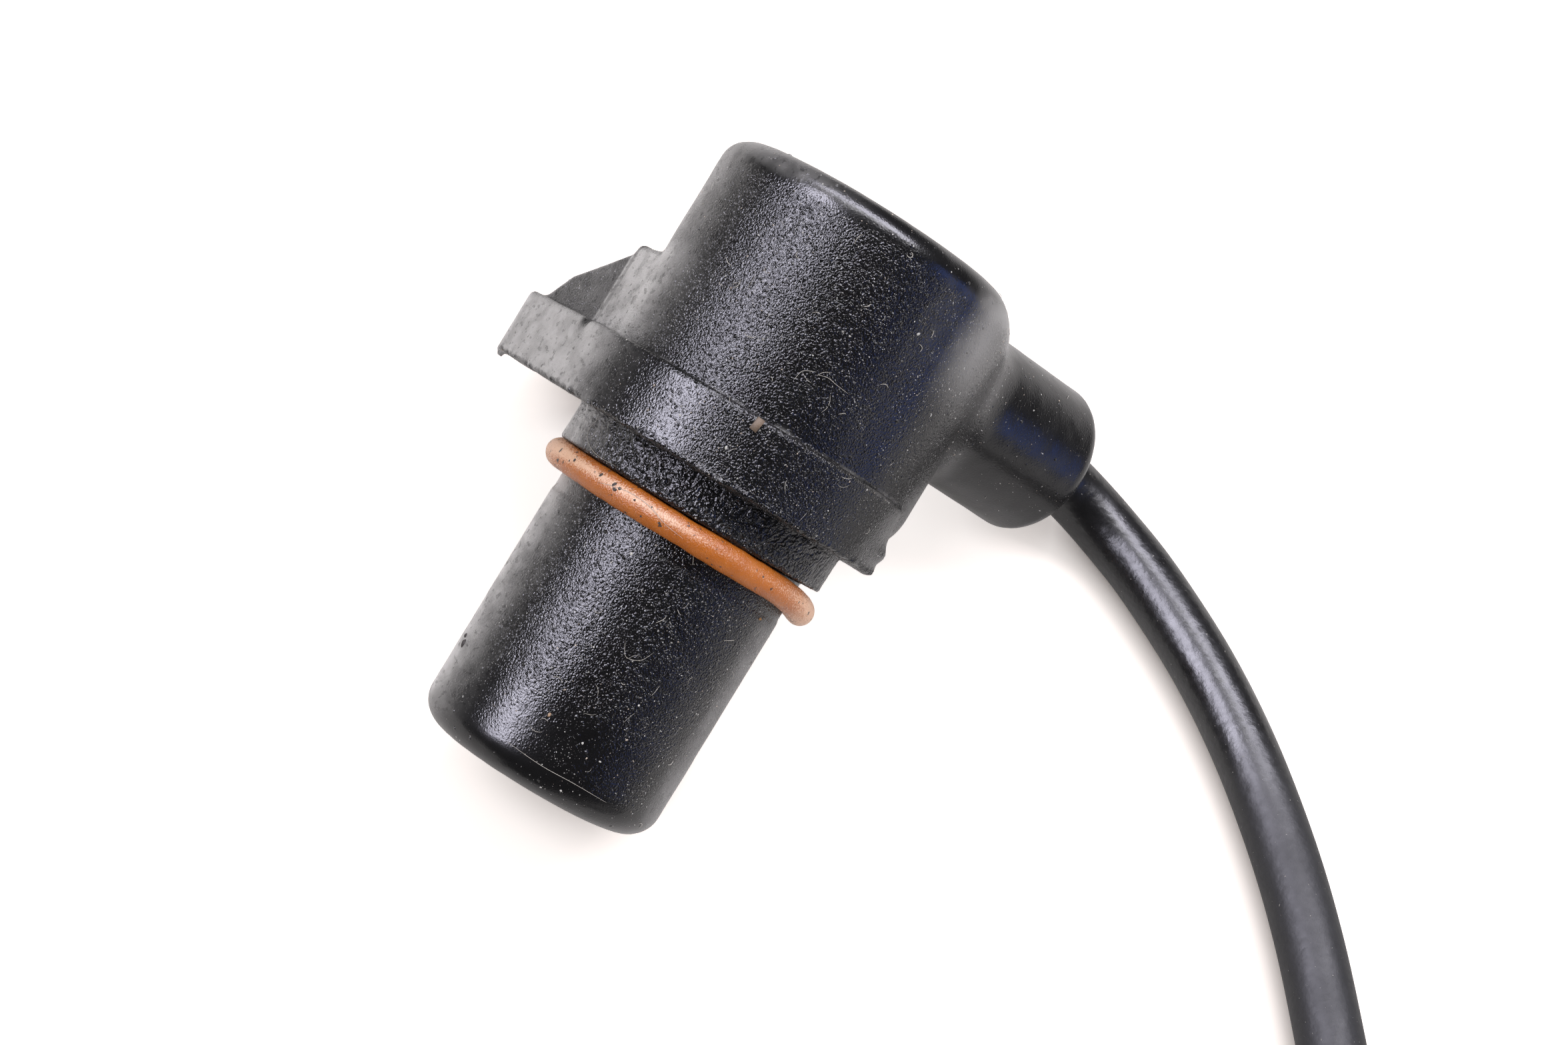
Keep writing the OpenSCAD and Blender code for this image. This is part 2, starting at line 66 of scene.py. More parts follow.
# Insert that the housing is moulded round: an iron pole pin and a magnet in a pale spool with a copper
# winding, brass strips welded to it, steel crimps and two insulated cores. Only the pin's end shows, flush
# with the tip.
class Shade:
    """A value in a node tree: arithmetic on it adds Math nodes, and node() adds any other node."""

    def __init__(self, tree, socket=None):
        self.tree = tree
        self.socket = socket

    def node(self, kind, settings=None, values=None, out=0):
        """Adds a node of that kind: its settings first, then each socket's value or link."""
        made = self.tree.nodes.new("ShaderNode" + kind)
        for name, value in (settings or {}).items():
            setattr(made, name, value)
        for name, value in (values or {}).items():
            if isinstance(value, Shade):
                self.tree.links.new(value.socket, made.inputs[name])
            else:
                made.inputs[name].default_value = value
        return Shade(self.tree, made.outputs[out])

    def math(self, operation, *others):
        """A Math node on this value and the others, in that order."""
        return self.node("Math", {"operation": operation}, dict(enumerate((self,) + others)))

    def __add__(self, other):
        return self.math("ADD", other)

    def __mul__(self, other):
        return self.math("MULTIPLY", other)

    def __sub__(self, other):
        return self.math("SUBTRACT", other)

    def __rsub__(self, other):
        return -1 * self + other

    __radd__ = __add__
    __rmul__ = __mul__

    def rise(self, low, high):
        """0 below low, 1 above high and a smooth step between; falling where low is above high."""
        return self.node("MapRange", {"interpolation_type": "SMOOTHSTEP"},
                         {"Value": self, "From Min": low, "From Max": high})

    def mix(self, first, second):
        """The first colour where this value is 0 and the second where it is 1."""
        return self.node("Mix", {"data_type": "RGBA"}, {0: self, 6: first, 7: second}, out=2)

    def scaled(self, factor):
        """This vector times a number."""
        return self.node("VectorMath", {"operation": "SCALE"}, {0: self, "Scale": factor})

    def noise(self, size, detail=3.0):
        """Soft noise from 0 to 1 whose lumps are about that size, read at this vector."""
        return self.node("TexNoise", None, {"Vector": self, "Scale": 1 / size, "Detail": detail})

    def beads(self, size, share):
        """Round bumps about that far apart, each a smooth step down over that share of it."""
        return self.node("TexVoronoi", None, {"Vector": self, "Scale": 1 / size}).rise(share, 0.0)

    def ridges(self, size):
        """Soft noise folded at its middle, which gives short bent ridges about that far apart."""
        return 1 - (2 * self.noise(size, 1.0) - 1).math("ABSOLUTE")

    def spread(self, name):
        """A number that the piece's points carry under that name."""
        return self.node("Attribute", {"attribute_name": name}, out="Fac")


def rgb(red, green, blue):
    """A colour as linear light, with full cover."""
    return (red, green, blue, 1.0)


def finish(name, **constants):
    """A material with one shader, whose named sockets are the same all over, and its tree's start."""
    material = bpy.data.materials.new(name)
    material.use_nodes = True
    shader = material.node_tree.nodes["Principled BSDF"]
    for socket, value in constants.items():
        shader.inputs[socket.replace("_", " ")].default_value = value
    return material, Shade(material.node_tree)


def feed(material, **values):
    """Links values that vary over the surface to the shader's sockets."""
    shader = material.node_tree.nodes["Principled BSDF"]
    for socket, value in values.items():
        material.node_tree.links.new(value.socket, shader.inputs[socket.replace("_", " ")])


def object_mm(start):
    """The piece's own coordinates in millimetres."""
    return start.node("TexCoord", out="Object").scaled(1 / MM)


def bumped(height, depth):
    """A normal for a surface whose height runs from 0 to that depth in millimetres."""
    return height.node("Bump", None, {"Strength": 1.0, "Distance": depth * MM, "Height": height})


def drawn_metal(name, dark, light, roughness):
    """Bare metal: two tones in soft patches, fine scratches in the gloss and a faint grain."""
    material, start = finish(name, Metallic=1.0)
    place = object_mm(start)
    patches = place.noise(2.5)
    scratches = place.node("Mapping", None, {"Vector": place, "Scale": (1.0, 1.0, 14.0)}).noise(0.7, 5.0)
    feed(material, Base_Color=patches.mix(dark, light), Roughness=roughness + 0.18 * (scratches - 0.5),
         Normal=bumped(scratches, 0.012))
    return material


def moulded(name, colour, shade, roughness, grain=0.1, depth=0.008):
    """Plain moulded plastic or rubber: slow shifts of tone, a fine grain and a little uneven gloss."""
    material, start = finish(name)
    place = object_mm(start)
    grains = place.noise(grain, 2.0)
    feed(material, Base_Color=place.noise(3.0).mix(colour, shade),
         Roughness=roughness + 0.14 * (place.noise(1.2) - 0.5), Normal=bumped(grains, depth))
    return material


def dress(material, *nodes):
    """Gives CAD nodes that keep their shape a finish in place of their plain one."""
    for name in nodes:
        mesh = frame["nodes"][name].data
        mesh.materials.clear()
        mesh.materials.append(material)


dress(drawn_metal("core_iron", rgb(0.30, 0.29, 0.28), rgb(0.42, 0.41, 0.40), 0.42), "pole_pin")
brass = drawn_metal("contact_brass", rgb(0.62, 0.43, 0.16), rgb(0.74, 0.55, 0.24), 0.30)
dress(drawn_metal("crimp_steel", rgb(0.48, 0.48, 0.49), rgb(0.60, 0.60, 0.61), 0.34),
      "crimp_left", "crimp_right")
dress(drawn_metal("magnet_grey", rgb(0.10, 0.10, 0.11), rgb(0.16, 0.16, 0.17), 0.5), "magnet")
dress(drawn_metal("winding_copper", rgb(0.50, 0.19, 0.07), rgb(0.68, 0.30, 0.12), 0.36), "coil_winding")
dress(brass, "terminal_left", "terminal_right", "cable_clamp")
dress(moulded("carrier_plastic", rgb(0.64, 0.60, 0.50), rgb(0.56, 0.52, 0.43), 0.5), "coil_carrier")
dress(moulded("wire_red", rgb(0.26, 0.018, 0.014), rgb(0.22, 0.014, 0.012), 0.4), "core_wire_left")
dress(moulded("wire_white", rgb(0.66, 0.66, 0.62), rgb(0.60, 0.60, 0.57), 0.4), "core_wire_right")

# Housing: one black glass-filled nylon moulding with barrel, collar, flange, ear, ribs, cap and outlet.
# It is moulded round the insert in one shot, with a grained skin and some flash at its parting edges.
# Years of use left dust in its corners, pale specks, a grey film and a rough collar. The film on faces
# turned to the picture's left, on the barrel's right rim and on the cap's right side is dust and a painted
# reflection of the white table; some of the pale specks are painted glints.
barrel_r = mounts["barrel"]["dims"]["r_mm"]
barrel_reach = 23.9
tip_edge = 2.1
groove_r = barrel_r - 0.08
groove_top = -2.9
groove_low = -6.0
collar_r = 10.3
flange_r = 12.5
flange_t = 5.0
ear_r = 7.15
bush_r = 4.55
cap_r = 10.9
cap_oval = 2.55
cap_h = 21.0
cap_edge = 1.8
cap_edge_at_outlet = 4.0
rib_inside = 5.9
rib_outside = 7.0
rib_top = 11.5
rib_shoulder = 12.0
rib_foot = 19.6
outlet_r = 5.8
outlet_z = 13.6
outlet_len = 24.75
outlet_edge = 1.2
cable_r = 2.4
cable_hole_in = 14.75
pin_r = 2.0
pin_hole_deep = 1.5
hole_room = 0.05
flash_deg = 226
flash_end_deg = 236
tooth_r = 0.24
tooth_in = 0.4
# The side towards the picture's left, whose faces carry a pale film of dust and painted reflection of the
# white table.
dust_and_reflection_side = np.radians(52.0)


def ramp(value, low, high):
    """0 below low, 1 above high and a smooth step between; falling where low is above high."""
    share = np.clip((value - low) / (high - low), 0, 1)
    return share * share * (3 - 2 * share)


def hump(value, middle, half):
    """A bell of height 1 at the middle that has fallen to a third at half."""
    return np.exp(-((value - middle) / half) ** 2)


def round_box(across, along, reach, low, high, edge):
    """Distance to a bar: its radius across and its two ends along, with edges rounded by that radius."""
    side = across - (reach - edge)
    end = np.abs(along - (low + high) / 2) - ((high - low) / 2 - edge)
    return np.hypot(np.maximum(side, 0), np.maximum(end, 0)) + np.minimum(np.maximum(side, end), 0) - edge


def joined(first, second, fillet):
    """Distance to two shapes together, with a fillet of about that radius where they meet."""
    near = np.maximum(fillet - np.abs(first - second), 0)
    return np.minimum(first, second) - near * near / (4 * fillet)


def cut(shape, hole, edge):
    """Distance to a shape without the hole, with the hole's edge broken by about that radius."""
    return -joined(-shape, hole, edge)


def outline(x, y, corners):
    """Distance to a flat outline, that of its nearest side. It is below zero inside, where a line to the
    right crosses the outline an odd number of times."""
    nearest = np.full(x.shape, np.inf)
    inside = np.zeros(x.shape, bool)
    for (ax, ay), (bx, by) in zip(corners, np.roll(corners, -1, axis=0)):
        wide = bx - ax
        tall = by - ay
        share = np.clip(((x - ax) * wide + (y - ay) * tall) / (wide ** 2 + tall ** 2), 0, 1)
        nearest = np.minimum(nearest, np.hypot(x - ax - share * wide, y - ay - share * tall))
        if ay != by:
            inside ^= ((ay > y) != (by > y)) & (x < ax + (y - ay) * wide / tall)
    return np.where(inside, -nearest, nearest)


def plate(flat, along, low, high, edge):
    """Distance to a plate of that flat outline between two heights, with edges rounded by that radius."""
    return round_box(flat, along, 0.0, low, high, edge)


def ear_outline(x, y):
    """Distance to two circles on the x axis and their common tangents."""
    slope = (flange_r - ear_r) / ear_pitch
    level = np.sqrt(1 - slope * slope)
    y = np.abs(y)
    along = x * level - y * slope
    return np.where(along < 0, np.hypot(x, y) - flange_r,
                    np.where(along > ear_pitch * level, np.hypot(x - ear_pitch, y) - ear_r,
                             x * slope + y * level - flange_r))


def housing_field(points):
    """Distance from the moulding's skin, below zero inside: bars and plates with fillets, less the holes.
    Flash stands out of the flange's edge beside the outlet, a tooth of it hangs from the ear's end, and a
    small dent is pressed into the flange's upper edge."""
    x, y, z = points.T
    across = np.hypot(x, y)
    turned = np.degrees(np.arctan2(y, x)) % 360
    barrel = round_box(across, z, barrel_r, -barrel_reach, groove_low + tip_edge, tip_edge)
    barrel = cut(barrel, groove_low - z, 0.3)
    core = round_box(across, z, groove_r, -barrel_reach + tip_edge, 1.0, 0.1)
    collar = round_box(across, z, collar_r, groove_top, 1.0, 0.2)
    flash = hump(turned, flash_deg, 8) * (0.45 * hump(z, 1.5, 0.7) + 0.3 * hump(z, 0.1, 0.5)) + 0.25 * (
        hump(turned, flash_end_deg, 5) * hump(z, 0.4, 0.5))
    dent = 0.4 * hump(x, 6.8, 0.6) * hump(z, 4.9, 0.5) * ramp(y, 9.0, 10.0)
    edge = 0.35 + 0.45 * ramp(x, 21.5, 25.0) * ramp(z, 2.0, 3.0)
    flange = plate(ear_outline(x, y), z, 0.0, flange_t, edge) - flash + dent
    tooth_out = ear_r - tooth_in
    tooth_x = ear_pitch + tooth_out * np.cos(dust_and_reflection_side)
    tooth_y = tooth_out * np.sin(dust_and_reflection_side)
    tooth = np.hypot(np.hypot(x - tooth_x, y - tooth_y), z - np.clip(z, -0.3, 0.4)) - tooth_r - 0.1 * z
    cap_across = np.hypot(x, y + np.clip(-y, 0, cap_oval))
    edge_here = cap_edge + (cap_edge_at_outlet - cap_edge) * ramp(-y, 1.0, 11.5)
    cap = round_box(cap_across, z, cap_r, 0.5, cap_h, edge_here)
    outer_angle = np.arctan2(rib_outside, rib_shoulder)
    tangent = outer_angle + np.arccos(cap_r / np.hypot(rib_shoulder, rib_outside))
    wing = [cap_r * np.cos(tangent), cap_r * np.sin(tangent)]
    fairing = plate(outline(x, y, np.array([[0, 0], wing, [rib_shoulder, rib_outside],
                                            [rib_shoulder, -rib_outside], [wing[0], -wing[1]]])),
                    z, flange_t - 1.0, rib_top, 0.5)
    rib_side = outline(x, z, np.array([
        [rib_shoulder - 0.5, flange_t - 0.5], [rib_shoulder - 0.5, rib_top], [rib_shoulder, rib_top],
        [rib_shoulder + 0.5, rib_top - 0.8], [rib_foot - 1.9, flange_t + 2.3],
        [rib_foot, flange_t], [rib_foot, flange_t - 0.5]]))
    ribs = plate(rib_side, np.abs(y), rib_inside, rib_outside, 0.4)
    outlet = round_box(np.hypot(x, z - outlet_z), -y, outlet_r, 0.0, outlet_len, outlet_edge)
    body = joined(joined(barrel, core, 0.1), collar, 0.1)
    head = joined(joined(joined(flange, tooth, 0.3), joined(fairing, ribs, 0.4), 0.3), cap, 0.02)
    shape = joined(joined(body, head, 0.12), outlet, 2.6)
    shape = cut(shape, np.hypot(x - ear_pitch, y) - bush_r, 0.1)
    cable_hole = np.maximum(np.hypot(x, z - outlet_z) - cable_r - hole_room, cable_hole_in + y)
    shape = cut(shape, cable_hole, 0.3)
    pin_hole = np.maximum(across - pin_r - hole_room, z + barrel_reach - pin_hole_deep)
    return cut(shape, pin_hole, 0.1)


def rumple(points, size, seed):
    """Smooth noise from -1 to 1: random values on a lattice of that size, blended between its corners."""
    side = 64
    lattice = np.random.default_rng(seed).uniform(-1, 1, (side, side, side))
    cell = np.floor(points / size).astype(int)
    share = points / size - cell
    share = share * share * (3 - 2 * share)
    total = 0.0
    for corner in np.ndindex(2, 2, 2):
        i, j, k = ((cell + corner) % side).T
        total = total + lattice[i, j, k] * np.prod(np.where(corner, share, 1 - share), axis=1)
    return total


def roughness_of_place(points):
    """How coarse the skin is, and how far a place is on the collar. The barrel is coarsest in a band on its
    front and finer towards its tip, the cap is finer past its middle and the flange before it. The outlet
    and the rounded edges of the tip and the cap are nearly smooth."""
    x, y, z = points.T
    on_collar = ramp(z, -3.2, -2.7) * ramp(z, 0.5, 0.0) * ramp(np.hypot(x, y), 9.4, 9.9)
    turned = np.degrees(np.arctan2(y, x)) % 360
    coarse = 0.66 + 0.29 * ramp(turned, 142.0, 158.0) * ramp(turned, 210.0, 185.0)
    coarse = coarse - 0.38 * ramp(-z, 16.0, 19.5)
    above_seat = ramp(z, -0.3, 0.2)
    coarse = coarse + (0.82 - 0.42 * ramp(turned, 176.0, 196.0) - coarse) * above_seat
    coarse = coarse - (0.36 - 0.42 * ramp(turned, 126.0, 140.0)) * above_seat * ramp(z, 5.4, 4.9)
    smooth = np.maximum(0.75 * ramp(-y, 12.0, 15.0), 0.8 * ramp(-z, 21.2, 22.2))
    smooth = np.maximum(smooth, 0.85 * ramp(z, cap_h - 2.4, cap_h - 1.5))
    return coarse * (1 - smooth), on_collar


def worn_field(points):
    """The moulding's field with a slow waviness, and lumps on the collar and the flange's lower edge."""
    ragged = 0.035 * roughness_of_place(points)[1] + 0.09 * hump(points[:, 2], 0.0, 0.35)
    return (housing_field(points) + 0.018 * rumple(points, 2.3, 1) + 0.010 * rumple(points, 0.8, 2)
            + ragged * rumple(points, 0.6, 3))


def slope_of(field, points):
    """The direction in which a field rises fastest, from its differences a small way along each axis."""
    small = 0.02 * np.eye(3)
    return unit(np.stack([field(points + way) - field(points - way) for way in small], axis=1))


def settled(field, points, rounds):
    """Points moved along the field's slope on to its skin, at most a quarter of a millimetre a round."""
    for _ in range(rounds):
        points = points - slope_of(field, points) * np.clip(field(points), -0.25, 0.25)[:, None]
    return points


def skin_of(field, low, high, step):
    """Skin of a distance field: a corner in each grid cell that the skin passes, at the mean of where it
    crosses the cell's edges, and a four-sided face round each grid edge that it crosses."""
    marks = [np.arange(start, stop + step, step) for start, stop in zip(low, high)]
    layers = []
    for mark in marks[0]:
        grid = np.meshgrid(mark, *marks[1:], indexing="ij")
        layers.append(field(np.stack([part.ravel() for part in grid], axis=1)))
    value = np.stack(layers).reshape([len(mark) for mark in marks])
    cells = tuple(size - 1 for size in value.shape)
    count = np.zeros(cells)
    total = np.zeros(cells + (3,))
    edges = []
    for axis in range(3):
        first, second = [other for other in range(3) if other != axis]
        start = np.take(value, range(cells[axis]), axis)
        stop = np.take(value, range(1, value.shape[axis]), axis)
        crossing = (start < 0) != (stop < 0)
        share = np.where(crossing, start / np.where(crossing, start - stop, 1), 0)
        for shift in np.ndindex(2, 2):
            window = [slice(None)] * 3
            window[first] = slice(shift[0], shift[0] + cells[first])
            window[second] = slice(shift[1], shift[1] + cells[second])
            window = tuple(window)
            count += crossing[window]
            total[..., axis] += share[window]
            total[..., first] += shift[0] * crossing[window]
            total[..., second] += shift[1] * crossing[window]
        edges.append((axis, first, second, crossing, start < 0))
    used = np.argwhere(count > 0)
    number = np.full(cells, -1)
    number[tuple(used.T)] = np.arange(len(used))
    points = np.array(low) + step * (used + total[tuple(used.T)] / count[tuple(used.T)][:, None])
    faces = []
    for axis, first, second, crossing, leaving in edges:
        where = np.argwhere(crossing)
        a, b = np.eye(3, dtype=int)[first], np.eye(3, dtype=int)[second]
        ring = np.stack([number[tuple((where + offset).T)] for offset in (-a - b, -b, 0 * a, -a)], axis=1)
        turned = leaving[tuple(where.T)] == (axis == 1)
        faces.append(np.where(turned[:, None], ring[:, ::-1], ring))
    return points, np.concatenate(faces)


skin_step = 0.26
skin_low = (-13.4, -25.3, -24.5)
skin_high = (26.9, 13.4, 21.5)
housing_points, housing_faces = skin_of(housing_field, skin_low, skin_high, skin_step)
housing_points = settled(worn_field, settled(housing_field, housing_points, 3), 2)
housing_normals = slope_of(worn_field, housing_points)

housing_plastic, start = finish("housing_plastic", Specular_IOR_Level=0.5, Sheen_Weight=0.04,
                                Sheen_Roughness=0.5)
place = object_mm(start)
film = place.noise(2.2, 5.0)
collar = place.spread("collar")
relief = place.spread("relief")
pebbles = 0.5 * place.noise(0.13, 2.5) + 0.5 * place.ridges(0.25) + 0.45 * place.beads(0.27, 0.4)
height = relief * pebbles + collar * (1.5 * place.ridges(0.5) + 0.8 * place.noise(0.25, 2.0)) + (
    0.8 * place.beads(1.3, 0.12))
patches = place.noise(2.8, 3.0)
# Pale flecks and crumbs in the colour: the crumbs are dust, the flecks are dust specks and painted glints,
# most where the skin is coarse.
flecks = place.noise(0.12, 2.0).rise(0.665, 0.70) * patches.rise(0.4, 0.62) * relief.rise(0.1, 0.5)
crumbs = place.noise(0.34, 3.0).rise(0.72, 0.77)
dust_and_glints = (0.8 * flecks + crumbs).math("MINIMUM", 1.0)
wiped_way = np.array([-np.sin(dust_and_reflection_side), np.cos(dust_and_reflection_side), 0.0]) @ sensor_axes
way_along = place.node("VectorMath", {"operation": "DOT_PRODUCT"}, {0: place, 1: wiped_way}, out="Value")
wiped = place.node("VectorMath", {"operation": "MULTIPLY_ADD"},
                   {0: way_along, 1: -0.6 * wiped_way, 2: place})
fine_pits = 0.45 + 0.55 * wiped.noise(0.45, 3.0).rise(0.33, 0.43)
broad_pits = 0.7 + 0.45 * wiped.noise(1.4, 4.0).rise(0.36, 0.6)
in_corners = 0.2 * place.spread("corner") * film.rise(0.45, 0.65)
# The pale film: dust, and a painted reflection of the white table where faces turn away at a grazing angle;
# dust alone in the corners.
veil = place.spread("dust_and_reflection") * (fine_pits * broad_pits) + place.spread("dust_haze_and_reflection") + in_corners
black = film.mix(rgb(0.004, 0.004, 0.0045), rgb(0.010, 0.010, 0.011))
veiled = veil.mix(black, rgb(0.73, 0.73, 0.75))
roughness = 0.25 - 0.13 * relief + 0.1 * (film - 0.5) + 0.3 * dust_and_glints + 0.25 * veil
feed(housing_plastic, Base_Color=dust_and_glints.mix(veiled, rgb(0.55, 0.55, 0.56)), Roughness=roughness,
     Normal=bumped(height, 0.12))


def laid(points):
    """Points of the sensor's own frame in millimetres, turned and moved to where it lies, in metres."""
    return seat + MM * np.asarray(points, float) @ sensor_axes


def piece(name, points, faces, material):
    """A smooth mesh at the origin with its place in its points, riding on the one body of this part."""
    mesh = bpy.data.meshes.new(name)
    mesh.from_pydata(points, [], faces)
    mesh.polygons.foreach_set("use_smooth", np.ones(len(mesh.polygons), bool))
    mesh.materials.append(material)
    made = bpy.data.objects.new(name, mesh)
    bpy.context.scene.collection.objects.link(made)
    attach(made, "root")
    return made


def carry(made, name, values):
    """Gives each point of a piece a number that its material reads under that name."""
    numbers = made.data.attributes.new(name, "FLOAT", "POINT")
    numbers.data.foreach_set("value", np.asarray(values, np.float32))


housing = piece("housing_moulding", laid(housing_points), housing_faces, housing_plastic)
housing.data.normals_split_custom_set_from_vertices(housing_normals @ sensor_axes)
skin_x, skin_y, skin_z = housing_points.T
# Where the pale film lies: on faces turned to the picture's left, most at grazing angles, as dust and a
# painted reflection of the table, and a little on the collar, the ear's end and the cap's top rim.
facing_dust_and_reflection = housing_normals[:, 0] * np.cos(dust_and_reflection_side) + housing_normals[:, 1] * np.sin(dust_and_reflection_side)
corner_reach = 0.4
corner = 1 - np.clip(housing_field(housing_points + corner_reach * housing_normals) / corner_reach, 0, 1)
skin_coarse, on_collar = roughness_of_place(housing_points)
carry(housing, "relief", skin_coarse)
carry(housing, "collar", on_collar)
# Round the dent in the flange's upper edge the pale film is left off, so that the spot stays dark.
film_gap_at_dent = hump(skin_x, 6.9, 1.0) * hump(skin_z, 4.6, 0.8) * ramp(skin_y, 9.0, 10.0)
dust_and_reflection = np.clip(facing_dust_and_reflection, 0, 1) ** 8 * (1 - 0.5 * ramp(skin_z, 11.5, 13.0)) * (1 - 0.95 * film_gap_at_dent)
dust_and_reflection = dust_and_reflection + 0.12 * on_collar * ramp(facing_dust_and_reflection, 0.6, 0.9)
dust_and_reflection = np.maximum(dust_and_reflection, 0.6 * ramp(skin_x, 21.0, 22.0) * ramp(skin_z, 0.3, 0.0))
# A little painted reflection of the table, with dust, on the barrel's right rim below the ring.
dust_and_reflection = dust_and_reflection + 0.13 * ramp(-facing_dust_and_reflection, 0.84, 0.96) * ramp(-skin_z, 6.0, 7.0)
top_rim = ramp(skin_z, cap_h - 2.0, cap_h - 1.0) * ramp(facing_dust_and_reflection, -0.1, 0.5)
carry(housing, "dust_and_reflection", np.maximum(dust_and_reflection, 0.17 * top_rim))
# A pale haze on the cap's right side, short of its rim: dust and a painted reflection of the table.
on_cap = ramp(skin_z, 11.0, 17.0) * ramp(-skin_y, 13.5, 11.5)
dust_haze_and_reflection = 0.3 * on_cap * ramp(-facing_dust_and_reflection, 0.58, 0.84) * (1 - 0.85 * ramp(-facing_dust_and_reflection, 0.8, 1.0))
carry(housing, "dust_haze_and_reflection", dust_haze_and_reflection)
carry(housing, "corner", ramp(corner, 0.25, 0.8) * ramp(skin_z, 4.0, 4.8))
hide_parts("housing")

# Bush in the bolt ear: a plain steel ring that takes the bolt's load, so that the plastic isn't crushed.
# It is cut from drawn tube and moulded into the ear.
dress(drawn_metal("bush_steel", rgb(0.40, 0.40, 0.41), rgb(0.55, 0.55, 0.56), 0.36), "mounting_bush")

# Seal ring: brown rubber with a round section, stretched into the groove under the collar.
# At one side it has slipped down and stands off the collar.
ring_r = 9.75
ring_z = -3.95
ring_half = 1.0
ring_steps = 300
ring_sides = 36


def tube(path, radius, sides, closed=False):
    """A round tube along a path: rings of points square to the path, with the seam kept straight."""
    ahead = np.roll(path, -1, axis=0) - np.roll(path, 1, axis=0) if closed else np.gradient(path, axis=0)
    ahead = unit(ahead)
    side = unit(np.cross([0.0, 0.0, 1.0], ahead))
    over = np.cross(ahead, side)
    turn = np.linspace(0, 2 * np.pi, sides, endpoint=False)[:, None]
    radius = np.broadcast_to(np.asarray(radius, float).reshape(-1, 1, 1), (len(path), 1, 1))
    rings = path[:, None] + radius * (np.cos(turn) * side[:, None] + np.sin(turn) * over[:, None])
    rows = len(path) if closed else len(path) - 1
    i, k = np.meshgrid(np.arange(rows), np.arange(sides), indexing="ij")
    this_row = i * sides
    next_row = (i + 1) % len(path) * sides
    next_side = (k + 1) % sides
    faces = np.stack([this_row + k, this_row + next_side, next_row + next_side, next_row + k], axis=-1)
    return rings.reshape(-1, 3), faces.reshape(-1, 4)


turn = np.linspace(0, 2 * np.pi, ring_steps, endpoint=False)
turn_deg = np.degrees(turn)
slipped = hump(turn_deg, 238, 30)
lifted = hump(turn_deg, 55, 40)
ring_out = ring_r + 0.16 * slipped
ring_up = ring_z - 0.72 * slipped + 0.1 * lifted
ring_path = np.stack([ring_out * np.cos(turn), ring_out * np.sin(turn), ring_up], axis=1)
ring_points, ring_faces = tube(ring_path, ring_half + 0.02 * np.sin(7 * turn), ring_sides, closed=True)
ring_outward = unit(ring_points - np.repeat(ring_path, ring_sides, axis=0))
ring_points = ring_points + 0.03 * rumple(ring_points, 0.9, 5)[:, None] * ring_outward

seal_rubber, start = finish("seal_rubber", Specular_IOR_Level=0.6, Sheen_Weight=0.02, Sheen_Roughness=0.5)
place = object_mm(start)
tone = place.noise(1.6, 4.0)
orange = tone.mix(rgb(0.40, 0.095, 0.008), rgb(0.64, 0.20, 0.022))
sand = place.noise(0.1, 3.0)
# The pale crust is dirt, and along a band a little above the middle of the ring's section it is also a
# painted highlight.
crust_and_highlight_cover = 0.9 * (sand + 0.5 * place.spread("crust_and_highlight")).rise(0.62, 1.04)
grime = place.noise(0.5, 4.0).rise(0.635, 0.69)
crust_and_highlight_colour = crust_and_highlight_cover.mix(orange, rgb(0.94, 0.61, 0.42))
feed(seal_rubber, Base_Color=grime.mix(crust_and_highlight_colour, rgb(0.05, 0.03, 0.02)),
     Roughness=0.2 + 0.18 * crust_and_highlight_cover + 0.2 * grime, Normal=bumped(sand + 0.8 * place.noise(0.13, 2.0), 0.06))
seal = piece("seal_ring", laid(ring_points), ring_faces, seal_rubber)
# Where the crust lies: a painted highlight in a band a little above the section's middle, weaker round part
# of the ring, and dirt at two places round it.
upward = np.tile(np.sin(np.linspace(0, 2 * np.pi, ring_sides, endpoint=False)), len(ring_path))
dull = np.repeat(np.maximum(0.8 * hump(turn_deg, 60, 28), hump(turn_deg, 228, 27)), ring_sides)
pale_part = np.repeat(1 - 0.6 * ramp(turn_deg, 135.0, 160.0), ring_sides)
carry(seal, "crust_and_highlight", np.clip(0.9 * pale_part * hump(upward, 0.25, 0.4) + 0.95 * dull, 0, 1))
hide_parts("o_ring")

# Cable: a black jacket over two cores, moulded into the outlet. It drops to the table and leaves in a bow.
# Past the picture's edge the rest is wound into a small coil with a tie, and ends in the connector.
cable_in = 14.8
cable_sides = 32
cable_step = 0.8
on_table = cable_r
outlet_in = laid([0.0, -cable_in, outlet_z])
outlet_exit = laid([0.0, -outlet_len, outlet_z])
cable_route = MM * np.array([
    [-20.6, 19.2, 4.5], [-20.5, 21.8, 3.1], [-19.9, 24.2, 2.5], [-18.8, 27, on_table],
    [-17.2, 30.2, on_table], [-14.4, 35.1, on_table], [-10.8, 40.2, on_table], [-7.1, 44.6, on_table],
    [-3.8, 48.1, on_table], [-0.3, 51.4, on_table], [5.3, 56.1, on_table], [13.7, 62.7, on_table],
    [22.1, 69.4, on_table]])
coil_middle = np.array([46.5, 55.5])
coil_r = 26.0
coil_start = 128.0
coil_marks = 62
coil_turn = np.radians(np.linspace(coil_start, -360.0, coil_marks))
climb = ramp(coil_start - 270 - np.degrees(coil_turn), 0, 90)
coil_turns = MM * np.stack([coil_middle[0] + coil_r * np.cos(coil_turn),
                            coil_middle[1] + coil_r * np.sin(coil_turn),
                            on_table + 2 * cable_r * climb], axis=1)
plug_x = coil_middle[0] + coil_r
